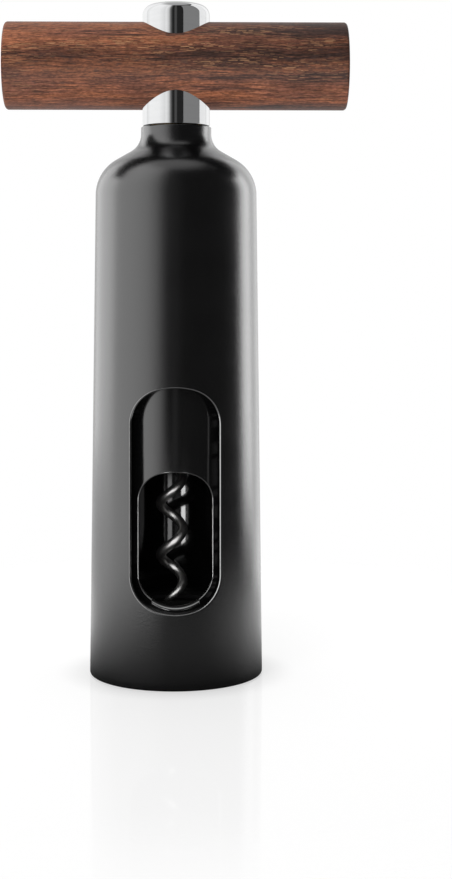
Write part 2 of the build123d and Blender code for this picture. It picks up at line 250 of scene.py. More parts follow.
def rounded_chain(corners, radii=(), arc_steps=6, spacing=PROFILE_STEP):
    """A profile with rounded corners. An inner corner gives way to an arc of its radius, which
    starts radius x tan(turn / 2) before it and is tangent to both runs. Corners past the radii stay
    sharp, and straight runs are divided into steps of at most spacing."""
    corners = np.asarray(corners, float)
    bends = [*radii, *[0] * len(corners)]
    stops = [corners[:1]]
    for before, corner, after, bend in zip(corners, corners[1:], corners[2:], bends):
        into = unit(corner - before)
        out = unit(after - corner)
        cross = into[0] * out[1] - into[1] * out[0]
        turn = math.atan2(abs(cross), float(into @ out))
        side = np.array([-into[1], into[0]]) * math.copysign(1, cross)
        angles = np.linspace(0, turn, (arc_steps if bend > 0 else 0) + 1)[:, None]
        start = corner - into * bend * math.tan(turn / 2)
        stops.append(start + into * bend * np.sin(angles) + side * bend * (1 - np.cos(angles)))
    stops.append(corners[-1:])
    points = np.concatenate(stops)
    runs = np.linalg.norm(np.diff(points, axis=0), axis=1)
    travelled = np.concatenate([[0], np.cumsum(runs)])
    parts = np.maximum(np.ceil(runs / spacing).astype(int), 1)
    places = np.concatenate([np.arange(n) / n + i for i, n in enumerate(parts)] + [[len(parts)]])
    wanted = np.interp(places, np.arange(len(travelled)), travelled)
    return np.stack([np.interp(wanted, travelled, points[:, i]) for i in (0, 1)], axis=1)


def joined(patches):
    """One list of points, one of quads and one of the points' marks from several grids, each
    (points, closed) and, where its rows are marked, their marks. A closed grid's last column meets
    its first."""
    points, faces, marks = [], [], []
    count = 0
    for grid, closed, *row_marks in patches:
        rows, columns = grid.shape[:2]
        index = count + np.arange(rows * columns).reshape(rows, columns)
        if closed:
            index = np.concatenate([index, index[:, :1]], axis=1)
        corners = [index[:-1, :-1], index[:-1, 1:], index[1:, 1:], index[1:, :-1]]
        points.append(grid.reshape(-1, 3))
        faces.append(np.stack(corners, axis=-1).reshape(-1, 4))
        marks.append(np.repeat(row_marks[0] if row_marks else np.zeros(rows), columns))
        count += rows * columns
    return np.concatenate(points), np.concatenate(faces), np.concatenate(marks)


def add_object(name, data):
    """A new object in the scene."""
    thing = bpy.data.objects.new(name, data)
    bpy.context.scene.collection.objects.link(thing)
    return thing


def make_piece(name, patches, body, material, replaced):
    """A welded, closed and outward-facing mesh object that stands for one node of the frame."""
    points, faces, marks = joined(patches)
    mesh = bpy.data.meshes.new(name)
    mesh.from_pydata(points, [], faces)
    if marks.any():
        mesh.attributes.new("Edge", "FLOAT", "POINT").data.foreach_set("value", marks)
    shape = bmesh.new()
    shape.from_mesh(mesh)
    bmesh.ops.remove_doubles(shape, verts=shape.verts, dist=WELD_DISTANCE)
    bmesh.ops.recalc_face_normals(shape, faces=shape.faces)
    shape.to_mesh(mesh)
    shape.free()
    mesh.shade_smooth()
    mesh.set_sharp_from_angle(angle=SHARP_ANGLE)
    mesh.materials.append(bpy.data.materials[material])
    piece = add_object(name, mesh)
    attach(piece, body)
    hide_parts(replaced)


def turned(profile, columns, around=None):
    """Surface of revolution: each profile point (radius, height) turned to every column's angle,
    where 0 points to -Y and a quarter turn to +X. around changes the radii by radius, height and
    angle."""
    radii = np.broadcast_to(profile[:, :1], (len(profile), len(columns)))
    if around is not None:
        radii = around(radii, profile[:, 1:], columns)
    heights = np.broadcast_to(profile[:, 1:], radii.shape)
    return np.stack([radii * np.sin(columns), -radii * np.cos(columns), heights], axis=-1)


def all_round(steps):
    """Evenly spaced angles of a full turn, without its end."""
    return np.linspace(0, 2 * math.pi, steps, endpoint=False)


def plain(face_radius):
    """A face of one radius, as a function of the height."""
    return lambda height: np.full_like(height, face_radius)


def outline_from_quarter(quarter):
    """A closed outline from its lower right quarter, mirrored upwards and then across. Each row
    holds the place (across, up), the outward normal and the place on the patch's border, from -1 to
    1."""
    right = np.concatenate([quarter, (quarter * MIRROR_UPWARDS)[::-1][1:]])
    return np.concatenate([right, (right * MIRROR_ACROSS)[::-1][1:-1]])


def with_border(across, up, normals, corner_index):
    """Rows of a quarter outline, with its points spread by length along the border's lower and
    right sides."""
    steps = np.hypot(np.diff(across), np.diff(up))
    travelled = np.concatenate([[0], np.cumsum(steps)])
    corner = travelled[corner_index]
    low = travelled <= corner
    border_across = np.where(low, travelled / corner, 1)
    border_up = np.where(low, -1, (travelled - corner) / (travelled[-1] - corner) - 1)
    return np.stack([across, up, np.sin(normals), -np.cos(normals), border_across, border_up],
                    axis=1)


def window_quarter(half_width, corner, arch, half_height, angles, side_steps):
    """Lower right quarter of a window about its middle. The end is an arch, the corner an arc
    inside it that is tangent to arch and side, and both are given by the direction of their normal,
    from straight down."""
    run = half_width - corner
    rise = math.sqrt((arch - corner) ** 2 - run ** 2)
    on_arch = angles < math.atan2(run, rise)
    across = np.where(on_arch, arch * np.sin(angles), run + corner * np.sin(angles))
    drop = np.where(on_arch, arch * np.cos(angles), rise + corner * np.cos(angles))
    up = arch - half_height - drop
    across = np.concatenate([across, np.full(side_steps, half_width)])
    up = np.concatenate([up, np.linspace(up[-1], 0, side_steps + 1)[1:]])
    normals = np.concatenate([angles, np.full(side_steps, math.pi / 2)])
    return with_border(across, up, normals, int(np.searchsorted(angles, CORNER_NORMAL)))


def spread(inner, outer, rings, crowding):
    """Rings of surface coordinates from a closed outline to its border, crowded towards the
    outline."""
    share = (np.linspace(0, 1, rings + 1) ** crowding)[:, None, None]
    return inner + (outer - inner) * share


def rolled_edge(outside, corner, inside, weight, steps):
    """Rings over an edge: a rational quadratic curve from a point on one face, drawn towards the
    sharp corner, to a point on the other. A weight of cos(turn / 2) makes it a round arc."""
    t = np.linspace(0, 1, steps + 1)[:, None, None]
    pull = 2 * weight[None, :, None] * t * (1 - t)
    total = (1 - t) ** 2 + pull + t ** 2
    return ((1 - t) ** 2 * outside + pull * corner + t ** 2 * inside) / total


def guided(base_radius, tip_radius, half_width, low, high):
    """A radius function for turned(): from low to high, points on the base radius move to the tip
    radius within half_width of the X axis, which makes a rib or a groove on each side."""
    def around(radii, heights, columns):
        near = np.abs(base_radius * np.cos(columns)) < half_width
        moved = (np.abs(radii - base_radius) < WELD_DISTANCE) & (heights >= low) & (heights <= high)
        return np.where(near & moved, tip_radius, radii)
    return around


def rest_angles(base_radius, half_width):
    """Angles from the right border of the window's patch round the back to its left border, with a
    pair of close columns at each side of a rib or groove."""
    even = np.linspace(BORDER_ANGLE, 2 * math.pi - BORDER_ANGLE, REST_STEPS + 1)
    half = math.asin(half_width / base_radius)
    pairs = [side * math.pi / 2 + sign * (half + nudge)
             for side in (1, 3) for sign in (-1, 1) for nudge in (-COLUMN_GAP, COLUMN_GAP)]
    keep = np.min(np.abs(even[:, None] - np.array(pairs)), axis=1) > COLUMN_GAP
    return np.sort(np.concatenate([even[keep], pairs]))


class Shell:
    """A wall round the Z axis with a window towards -Y. Its faces are radii that vary with the
    height, and a patch of each, as high as the window and a margin, surrounds the window."""

    def __init__(self, quarter, middle, half_height, outer_radius, inner_radius, guide):
        """middle and half_height place the patch, and guide is the base radius and the half width
        of the ribs or grooves."""
        self.outline = outline_from_quarter(quarter)
        self.middle = middle
        self.half_height = half_height
        self.low = middle - half_height
        self.high = middle + half_height
        self.outer_radius = outer_radius
        self.inner_radius = inner_radius
        below = self.outline[self.outline[:, 5] == -1][:, 4]
        right = self.outline[self.outline[:, 4] == 1][:, 5]
        self.rows = middle + np.sort(right) * half_height
        self.rest = rest_angles(*guide)
        self.columns = np.concatenate([np.sort(below) * BORDER_ANGLE, self.rest[1:-1]])

    def on_face(self, across, height, face_radius):
        """Points of a face at a distance across from the window's centre plane."""
        depth = -np.sqrt(face_radius(height) ** 2 - across ** 2)
        return np.stack([across, depth, height], axis=-1)

    def face(self, across, height, face_radius, rings, crowding):
        """Rings of a face from an outline to the border of the patch, spread in angle and
        height."""
        start = np.stack([np.arcsin(across / face_radius(height)), height], axis=-1)
        border = np.stack([self.outline[:, 4] * BORDER_ANGLE,
                           self.middle + self.outline[:, 5] * self.half_height], axis=-1)
        turns, heights = np.moveaxis(spread(start, border, rings, crowding), -1, 0)
        radii = face_radius(heights)
        return np.stack([radii * np.sin(turns), -radii * np.cos(turns), heights], axis=-1)

    def window_patches(self, outer_heights, brow_heights, sizes, edge_steps, rings):
        """Outer face, rounded rim, cut wall and inner face round the window. The rim's arc starts
        radius x tan(turn / 2) from the sharp edge, where the turn is between face and wall. The
        wall first runs to a brow at a depth, from where it goes straight inwards. The rim is marked
        with 1 and the wall with -1."""
        across = self.outline[:, 0]
        normal = self.outline[:, 2:4]
        sharp = self.on_face(across, outer_heights, self.outer_radius)
        brow = self.on_face(across, brow_heights, self.outer_radius)
        brow[:, 1] += sizes.brow_depth
        inner = self.on_face(across, brow_heights, self.inner_radius)
        lean = across / self.outer_radius(outer_heights)
        bend = np.clip(-normal[:, 0] * lean, -BEND_LIMIT, BEND_LIMIT)
        reach = sizes.window_edge * np.sqrt((1 - bend) / (1 + bend))
        slope = normal[:, 0] * lean / np.sqrt(1 - lean ** 2)
        step = (reach / np.sqrt(1 + slope ** 2))[:, None] * normal
        rim_across = across + step[:, 0]
        rim_heights = outer_heights + step[:, 1]
        outside = self.on_face(rim_across, rim_heights, self.outer_radius)
        inside = sharp + unit(brow - sharp) * reach[:, None]
        rim = rolled_edge(outside, sharp, inside, np.sqrt((1 + bend) / 2), edge_steps)
        wall = np.concatenate([rim, (inside + brow)[None] / 2, brow[None], inner[None]])
        marks = np.array([0] + [1] * edge_steps + [-1, -1, -1])
        return [(self.face(rim_across, rim_heights, self.outer_radius, rings, OUTER_CROWDING),
                 True),
                (wall, True, marks),
                (self.face(across, brow_heights, self.inner_radius, rings, INNER_CROWDING), True)]

    def sides(self, outer_around=None, inner_around=None):
        """Outer and inner face beside and behind the patch."""
        faces = (self.outer_radius, outer_around), (self.inner_radius, inner_around)
        return [(turned(np.stack([face_radius(self.rows), self.rows], axis=1), self.rest, around),
                 False) for face_radius, around in faces]

    def end(self, profile, around):
        """The whole round above or below the patch."""
        return turned(profile, self.columns, around), True


def casing_patches(sizes, sleeve):
    """The shell: a tapered wall, a cone with a convex and a hollow blend, and a neck, turned about
    Z, with a window cut straight through towards -Y."""
    neck_top = top("casing")
    ring_top = top("base_ring")
    ceiling = top("guide_sleeve") + SLEEVE_TRAVEL + bottom("guide_sleeve") - ring_top
    shoulder = ceiling + sizes.ceiling_thickness
    cone_rise = (sizes.shoulder_radius - sizes.neck_radius) * math.tan(sizes.shoulder_slope)
    sleeve_window = top("neck_guide") + sleeve.window_sill
    window_bottom = sleeve_window - sizes.low_margin
    window_top = sleeve_window + sleeve.window_height + SLEEVE_TRAVEL + sizes.high_margin
    half_height = (window_top - window_bottom) / 2
    patch_margin = 0.0105
    flange_radius = radius("upper_bush")
    flange_bottom = neck_top - (top("lower_bush") - bottom("lower_bush")) * FLANGE_SHARE
    rib_half_width = sizes.rib_width / 2
    bore = sizes.bore_radius
    neck = sizes.neck_radius

    def taper(height):
        return sizes.base_radius + (sizes.shoulder_radius - sizes.base_radius) * height / shoulder

    quarter = window_quarter(sizes.window_half_width, sizes.window_corner, sleeve.window_arch,
                             half_height, np.linspace(0, math.pi / 2, 27), side_steps=14)
    shell = Shell(quarter, (window_bottom + window_top) / 2, half_height + patch_margin, taper,
                  plain(bore), (bore, rib_half_width))
    heights = shell.middle + shell.outline[:, 1]
    ribs = guided(bore, bore - sizes.rib_height, rib_half_width, ring_top, ceiling)
    foot = rounded_chain(
        [(bore, shell.low), (bore, ring_top), (sizes.seat_radius, ring_top), (sizes.seat_radius, 0),
         (sizes.base_radius, 0), (taper(shell.low), shell.low)], [0, 0, 0, sizes.base_edge])
    head = rounded_chain(
        [(taper(shell.high), shell.high), (sizes.shoulder_radius, shoulder),
         (neck, shoulder + cone_rise), (neck, neck_top), (flange_radius, neck_top),
         (flange_radius, flange_bottom), (sizes.bush_radius, flange_bottom),
         (sizes.bush_radius, ceiling), (bore, ceiling), (bore, shell.high)],
        [sizes.shoulder_blend, sizes.neck_blend, sizes.neck_edge], arc_steps=20)
    return [*shell.window_patches(heights, heights, sizes, edge_steps=6, rings=9),
            *shell.sides(inner_around=ribs), shell.end(foot, ribs), shell.end(head, ribs)]


def sleeve_patches(sizes, casing):
    """A plain tube with a window, whose sill is bevelled outwards: both edges of the bevel are
    arcs, the lower on the outer face and the upper within the wall."""
    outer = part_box("guide_sleeve")[1].y
    inner = radius("neck_guide")
    low, high = bottom("guide_sleeve"), top("guide_sleeve")
    window_bottom = top("neck_guide") + sizes.window_sill
    half_height = sizes.window_height / 2
    patch_margin = 0.006
    lip_turn = math.asin((sizes.lip_half_width - sizes.window_half_width + sizes.window_corner)
                         / sizes.window_corner)
    lip_end = 0.004
    angles = np.concatenate([np.linspace(0, lip_turn, 15),
                             np.linspace(lip_turn + lip_end, math.pi / 2, 15)])
    quarter = window_quarter(sizes.window_half_width, sizes.window_corner, sizes.window_arch,
                             half_height, angles, side_steps=12)
    groove_half_width = casing.rib_width / 2 + sizes.groove_gap
    groove_radius = casing.bore_radius - casing.rib_height - sizes.groove_gap
    shell = Shell(quarter, window_bottom + half_height, half_height + patch_margin, plain(outer),
                  plain(inner), (outer, groove_half_width))
    heights = shell.middle + shell.outline[:, 1]
    within_lip = np.abs(shell.outline[:, 0]) < sizes.lip_half_width + WELD_DISTANCE
    lip = within_lip & (heights < shell.middle)
    lip_centre = window_bottom - sizes.lip_drop + sizes.lip_arch
    inner_arch = sizes.lip_arch - sizes.lip_drop + sizes.lip_inner_drop
    across = np.where(lip, shell.outline[:, 0], 0)
    outer_heights, brow_heights = (
        np.where(lip, lip_centre - np.sqrt(arch ** 2 - across ** 2), heights)
        for arch in (sizes.lip_arch, inner_arch))
    brow_heights = np.minimum(brow_heights, heights)
    grooves = guided(outer, groove_radius, groove_half_width, low, high)
    ends = [rounded_chain(corners, spacing=0.003) for corners in (
        [(inner, shell.low), (inner, low), (outer, low), (outer, shell.low)],
        [(outer, shell.high), (outer, high), (inner, high), (inner, shell.high)])]
    return [*shell.window_patches(outer_heights, brow_heights, sizes, edge_steps=4, rings=8),
            *shell.sides(outer_around=grooves), *[shell.end(profile, grooves) for profile in ends]]


def worm_patches(sizes):
    """Wire carried along a helix. Up the run out, its radius and offset shrink by a cosine to the
    spindle's axis. The first turn fraction tapers, and below the start the wire narrows to the
    ground point."""
    turn_rings = 48
    point_rings = 8
    shank_rings = 6
    sides = 28
    start = top("neck_guide") + sizes.start_gap
    helix_turns = sizes.turns + sizes.run_out
    point_turns = sizes.point_length / math.hypot(2 * math.pi * sizes.mean_radius, sizes.pitch)
    turns = np.concatenate([np.linspace(-point_turns, 0, point_rings, endpoint=False),
                            np.linspace(0, helix_turns, int(turn_rings * helix_turns))])
    angles = sizes.start_angle + 2 * math.pi * turns
    past = np.clip((turns - sizes.turns) / sizes.run_out, 0, 1)
    opened = (1 + np.cos(math.pi * past)) / 2
    centres = np.stack([opened * (sizes.offset + sizes.mean_radius * np.cos(angles)),
                        opened * sizes.mean_radius * np.sin(angles),
                        start + sizes.pitch * turns], axis=1)
    shank = np.zeros((shank_rings, 3))
    shank[:, 2] = np.linspace(centres[-1, 2] + sizes.wire_radius / 2, top("worm"), shank_rings)
    centres = np.concatenate([centres, shank])
    angles = np.concatenate([angles, np.full(shank_rings, angles[-1])])
    along = unit(np.gradient(centres, axis=0))
    along[-shank_rings:] = (0, 0, 1)
    outwards = np.stack([np.cos(angles), np.sin(angles), np.zeros_like(angles)], axis=1)
    first = unit(outwards - np.sum(outwards * along, axis=1, keepdims=True) * along)
    second = np.cross(along, first)
    narrow = np.interp(turns, [-point_turns, 0, sizes.taper],
                       [sizes.point_radius, sizes.taper_radius, sizes.wire_radius])
    radii = np.concatenate([narrow, np.full(shank_rings, sizes.wire_radius)])[:, None, None]
    wire = all_round(sides)[None, :, None]
    circle = np.cos(wire) * first[:, None] + np.sin(wire) * second[:, None]
    rings = centres[:, None] + radii * circle
    ends = np.repeat(centres[[0, -1], None], sides, axis=1)
    return [(np.concatenate([ends[:1], rings, ends[1:]]), True)]


def post_patches(sizes):
    """A turned sleeve with a counterbore for the thrust washer."""
    washer_room = top("thrust_washer") + (bottom("guide_sleeve") - top("base_ring"))
    flange_radius = radius("upper_bush")
    bore = radius("spindle")
    low, high = bottom("handle_post"), top("handle_post")
    profile = rounded_chain(
        [(flange_radius, low), (POST_RADIUS, low), (POST_RADIUS, high), (bore, high),
         (bore, washer_room), (flange_radius, washer_room), (flange_radius, low)],
        [sizes.post_edge])
    return [(turned(profile, all_round(ROUND_STEPS)), True)]


def cap_patches(sizes):
    """A turned cap: straight side, quarter-round rim and a top that rises to the middle as a
    paraboloid."""
    low, high = bottom("post_cap"), top("post_cap")
    hole_top = top("spindle")
    flat_radius = POST_RADIUS - sizes.cap_rim
    side = rounded_chain(
        [(0, hole_top), (sizes.stud_radius, hole_top), (sizes.stud_radius, low), (POST_RADIUS, low),
         (POST_RADIUS, high - sizes.cap_dome), (flat_radius, high - sizes.cap_dome)],
        [0, 0, 0, sizes.cap_rim], arc_steps=16)
    radii = np.linspace(flat_radius, 0, 9)[1:]
    dome = np.stack([radii, high - sizes.cap_dome * (radii / flat_radius) ** 2], axis=1)
    return [(turned(np.concatenate([side, dome]), all_round(ROUND_STEPS)), True)]


def bar_point(x, turns, bar):
    """Points at a radius round the handle's axis, at x and an angle from the top."""
    x, turns, bar = np.broadcast_arrays(x, turns, bar)
    return np.stack([x, bar * np.sin(turns), HANDLE_AXIS + bar * np.cos(turns)], axis=-1)


def handle_patches(sizes):
    """A round bar along X with rounded ends, bored from above and below. On the bar, a place is x
    and the angle from the top; a bore's rim is a circle in plan, whose angle is asin(y /
    radius)."""
    quarter_steps = 24
    border_x = POST_RADIUS + 0.0045
    border_angle = math.radians(66)
    bar = sizes.radius
    normals = np.linspace(0, math.pi / 2, quarter_steps + 1)
    outline = outline_from_quarter(with_border(
        POST_RADIUS * np.sin(normals), -POST_RADIUS * np.cos(normals), normals, quarter_steps // 2))
    edge = outline[:, :2] + outline[:, 2:4] * sizes.bore_edge
    start = np.stack([edge[:, 0], np.arcsin(edge[:, 1] / bar)], axis=-1)
    border = np.stack([outline[:, 4] * border_x, outline[:, 5] * border_angle], axis=-1)
    grid = spread(start, border, rings=7, crowding=1.4)
    rim_height = np.sqrt(bar ** 2 - outline[:, 1] ** 2) - sizes.bore_edge
    border_rows = np.sort(outline[outline[:, 4] == 1][:, 5]) * border_angle
    hole = outline[:, :2] * sizes.stud_hole / POST_RADIUS
    webs = bottom("post_cap"), top("handle_post")
    patches = []
    for turn, web in zip((0, math.pi), webs):
        side = math.cos(turn)
        rim = bar_point(edge[:, 0], start[:, 1] + turn, bar)
        wall = np.column_stack([outline[:, 0], outline[:, 1] * side,
                                HANDLE_AXIS + side * rim_height])
        floor = wall.copy()
        floor[:, 2] = web
        stud = floor * [sizes.stud_hole / POST_RADIUS, sizes.stud_hole / POST_RADIUS, 1]
        tube = np.stack([rim, wall, (wall + floor) / 2, floor, (floor + stud) / 2, stud])
        patches += [(bar_point(grid[..., 0], grid[..., 1] + turn, bar), True), (tube, True)]
    stud_rims = [np.column_stack([hole, np.full(len(hole), web)]) for web in webs]
    patches.append((np.stack(stud_rims), True))
    strip = np.linspace(border_angle, math.pi - border_angle, 11)
    columns = np.sort(outline[outline[:, 5] == -1][:, 4]) * border_x
    for shift in (0, math.pi):
        patches.append((bar_point(columns[None], (strip + shift)[:, None], bar), False))
    half_round = np.concatenate([border_rows, strip[1:-1]])
    around = np.concatenate([half_round, half_round + math.pi])
    end = rounded_chain([(border_x, bar), (BAR_END, bar), (BAR_END, 0)], [sizes.end_edge],
                        arc_steps=8, spacing=0.0022)
    for side in (-1, 1):
        patches.append((bar_point(side * end[:, :1], around[None], end[:, 1:]), True))
    return patches


# Finishes

class Flow:
    """A value that flows out of a node. Arithmetic on flows makes Math nodes."""

    def __init__(self, socket):
        self.socket = socket
        self.tree = socket.id_data

    def __add__(self, other):
        return maths("ADD", self, other)

    def __sub__(self, other):
        return maths("SUBTRACT", self, other)

    def __rsub__(self, other):
        return maths("SUBTRACT", other, self)

    def __mul__(self, other):
        return maths("MULTIPLY", self, other)

    def __truediv__(self, other):
        return maths("DIVIDE", self, other)

    def __rtruediv__(self, other):
        return maths("DIVIDE", other, self)

    def __abs__(self):
        return maths("ABSOLUTE", self)


def feed(node, inputs):
    """Gives flows or values to a node's inputs by name or number. Colours come without alpha."""
    for key, value in inputs.items():
        socket = node.inputs[key]
        if isinstance(value, Flow):
            value.tree.links.new(value.socket, socket)
        else:
            socket.default_value = (*value, 1) if socket.type == "RGBA" else value


def add_node(tree, kind, inputs=None, **settings):
    """A node with its settings and inputs."""
    node = tree.nodes.new(kind)
    for key, value in settings.items():
        setattr(node, key, value)
    feed(node, inputs or {})
    return node


def flow(tree, kind, inputs=None, output=0, **settings):
    """The flow out of a new node."""
    return Flow(add_node(tree, kind, inputs, **settings).outputs[output])


def maths(operation, *values):
    """A Math node of flows and numbers."""
    tree = next(value.tree for value in values if isinstance(value, Flow))
    return flow(tree, "ShaderNodeMath", dict(enumerate(values)), operation=operation)


def remap(value, low, high, to_low=0.0, to_high=1.0, smooth=True):
    """A clamped Map Range node."""
    return flow(value.tree, "ShaderNodeMapRange",
                {0: value, 1: low, 2: high, 3: to_low, 4: to_high},
                interpolation_type="SMOOTHSTEP" if smooth else "LINEAR")


def blend(factor, first, second):
    """A Mix node of numbers."""
    return flow(factor.tree, "ShaderNodeMix", {0: factor, 2: first, 3: second})


def blend_colours(factor, first, second, mode="MIX"):
    """A Mix node of colours. The factor or the second colour is a flow."""
    tree = factor.tree if isinstance(factor, Flow) else second.tree
    return flow(tree, "ShaderNodeMix", {0: factor, 6: first, 7: second}, output=2,
                data_type="RGBA", blend_type=mode)


def grey(level):
    """A grey of a level."""
    return flow(level.tree, "ShaderNodeCombineColor", {0: level, 1: level, 2: level})


def toned(base, tone):
    """A colour times a tone value."""
    return blend_colours(1.0, base, grey(tone), mode="MULTIPLY")


def object_place(tree):
    """Object coordinates."""
    return flow(tree, "ShaderNodeTexCoord", output="Object")


def axes(place):
    """The three coordinates of a place."""
    parts = add_node(place.tree, "ShaderNodeSeparateXYZ", {0: place}).outputs
    return [Flow(part) for part in parts]


def axis_distance(tree):
    """Distance from the Z axis in Object coordinates."""
    flat = flow(tree, "ShaderNodeVectorMath", {0: object_place(tree), 1: (1, 1, 0)},
                operation="MULTIPLY")
    return flow(tree, "ShaderNodeVectorMath", {0: flat}, output="Value", operation="LENGTH")


def noise(place, scale, detail=2.0, roughness=0.5):
    """A noise texture, about 0.5."""
    return flow(place.tree, "ShaderNodeTexNoise",
                {"Vector": place, "Scale": scale, "Detail": detail, "Roughness": roughness})


def stretched(place, scale, shift=(0.0, 0.0, 0.0)):
    """A place times a scale for each axis, shifted."""
    return flow(place.tree, "ShaderNodeMapping",
                {"Vector": place, "Scale": scale, "Location": shift})


def ray_kinds(tree):
    """Flows that are 1 for camera, glossy, shadow, and mirrored or transmitted rays."""
    rays = add_node(tree, "ShaderNodeLightPath").outputs
    camera, glossy, shadow, transmitted = (
        Flow(rays[f"Is {kind} Ray"]) for kind in ("Camera", "Glossy", "Shadow", "Transmission"))
    return camera, glossy, shadow, maths("MAXIMUM", glossy, transmitted)


def surface_group(name, defaults):
    """An empty shader node group that makes height, roughness and tone. Gives its tree, the flows
    of its inputs by name and its output node."""
    tree = bpy.data.node_groups.new(name, "ShaderNodeTree")
    new_socket = tree.interface.new_socket
    for label, default in defaults.items():
        new_socket(label, in_out="INPUT", socket_type="NodeSocketFloat").default_value = default
    for label in ("Height", "Roughness", "Tone"):
        new_socket(label, in_out="OUTPUT", socket_type="NodeSocketFloat")
    given = {socket.name: Flow(socket) for socket in tree.nodes.new("NodeGroupInput").outputs}
    return tree, given, tree.nodes.new("NodeGroupOutput")


def moulded_skin_group():
    """Fine spark-eroded grain of a plastic moulding: noise for the height, and a slow drift of
    roughness and tone, as where the tool polished the skin unevenly."""
    tree, given, made = surface_group(
        "Moulded Skin", {"Grain Size": 0.0002, "Roughness": 0.35, "Roughness Drift": 0.04})
    place = object_place(tree)
    fine = noise(place, 1.0 / given["Grain Size"], detail=3.0, roughness=0.6)
    drift = noise(place, 90.0, detail=3.0)
    swing = (drift - 0.5) * given["Roughness Drift"]
    feed(made, {"Height": fine,
                "Roughness": given["Roughness"] + swing * 2.0 + (fine - 0.5) * 0.08,
                "Tone": remap(drift, 0.3, 0.7, 0.85, 1.15)})


def turned_metal_group():
    """Lathe marks: noise that varies along the axis and the radius only, so that it runs in rings
    round Z."""
    tree, given, made = surface_group(
        "Turned Metal", {"Ring Spacing": 0.0002, "Roughness": 0.25, "Ring Depth": 0.15})
    place = object_place(tree)
    ring_place = flow(tree, "ShaderNodeCombineXYZ", {0: axis_distance(tree), 2: axes(place)[2]})
    rings = noise(ring_place, 1.0 / given["Ring Spacing"])
    feed(made, {"Height": rings,
                "Roughness": given["Roughness"] + (rings - 0.5) * given["Ring Depth"],
                "Tone": remap(noise(place, 350.0, detail=3.0), 0.3, 0.7, 0.9, 1.08)})


def new_material(name):
    """An empty node material and its shader."""
    material = bpy.data.materials.new(name)
    material.use_nodes = True
    return material, material.node_tree.nodes["Principled BSDF"]


def bumped(shader, height, strength, distance):
    """Feeds a height to the shader's normal through a Bump node."""
    bump = {"Height": height, "Strength": strength, "Distance": distance}
    feed(shader, {"Normal": flow(height.tree, "ShaderNodeBump", bump)})


def surfaced(shader, group, inputs, base, strength, depth):
    """Feeds a shared surface group's height, roughness and tone to a shader. Gives the
    roughness."""
    node = add_node(shader.id_data, "ShaderNodeGroup", inputs,
                    node_tree=bpy.data.node_groups[group])
    height, roughness, tone = (Flow(socket) for socket in node.outputs)
    feed(shader, {"Roughness": roughness, "Base Color": toned(base, tone)})
    bumped(shader, height, strength, depth)
    return roughness


def moulded_material(name, base, grain, roughness, drift, depth, level, rim_ior=None):
    """A plastic with the moulded skin. With a rim_ior, edges marked 1 are polished and cuts marked
    -1 are matt."""
    material, shader = new_material(name)
    plastic_ior = 1.55
    cut_ior = 1.12
    skin = {"Grain Size": grain, "Roughness": roughness, "Roughness Drift": drift}
    rough = surfaced(shader, "Moulded Skin", skin, base, strength=0.25, depth=depth)
    feed(shader, {"IOR": plastic_ior, "Specular IOR Level": level})
    if rim_ior:
        mark = flow(rough.tree, "ShaderNodeAttribute", output="Fac", attribute_name="Edge")
        rim = remap(mark, 0.0, 1.0, plastic_ior, rim_ior, smooth=False)
        feed(shader, {"IOR": remap(mark, -1.0, 0.0, cut_ior, rim, smooth=False),
                      "Roughness": remap(mark, 0.0, 1.0, rough, 0.12, smooth=False)})
    return material


def sleeve_material(base):
    """The smooth moulding, with a polished bore."""
    material = moulded_material("smooth_moulding", base, grain=0.0005, roughness=0.16, drift=0.03,
                                depth=0.00001, level=1.0, rim_ior=2.3)
    shader = material.node_tree.nodes["Principled BSDF"]
    rough = Flow(shader.inputs["Roughness"].links[0].from_socket)
    bore = maths("LESS_THAN", axis_distance(rough.tree), radius("neck_guide") + WELD_DISTANCE)
    feed(shader, {"Roughness": remap(bore, 0.0, 1.0, rough, 0.07)})
    return material


def turned_material(name, base, spacing, roughness, ring_depth):
    """A bare metal with lathe marks."""
    material, shader = new_material(name)
    marks = {"Ring Spacing": spacing, "Roughness": roughness, "Ring Depth": ring_depth}
    surfaced(shader, "Turned Metal", marks, base, strength=0.2, depth=0.00002)
    feed(shader, {"Metallic": 1.0})
    return material


def chrome_material(base):
    """Polished chrome: a near mirror whose roughness drifts slightly, with faint polishing
    streaks."""
    material, shader = new_material("bright_chrome")
    place = object_place(shader.id_data)
    haze = noise(stretched(place, (1, 1, 8)), 120.0, detail=4.0)
    feed(shader, {"Roughness": remap(haze, 0.35, 0.7, 0.045, 0.075),
                  "Base Color": toned(base, remap(haze, 0.3, 0.7, 0.985, 1.015)),
                  "Metallic": 1.0})
    bumped(shader, noise(place, 60.0, detail=1.0), strength=0.15, distance=0.00002)
    return material


def worm_material(base):
    """Dark coated wire with a glossy skin, fine drawing marks and a few duller patches."""
    material, shader = new_material("coated_wire")
    wear = noise(object_place(shader.id_data), 500.0, detail=4.0, roughness=0.6)
    dull = tuple(0.6 * channel for channel in base)
    feed(shader, {"Base Color": blend_colours(remap(wear, 0.5, 0.75), base, dull),
                  "Roughness": remap(wear, 0.3, 0.7, 0.3, 0.42),
                  "Metallic": 1.0})
    bumped(shader, wear, strength=0.15, distance=0.00002)
    return material


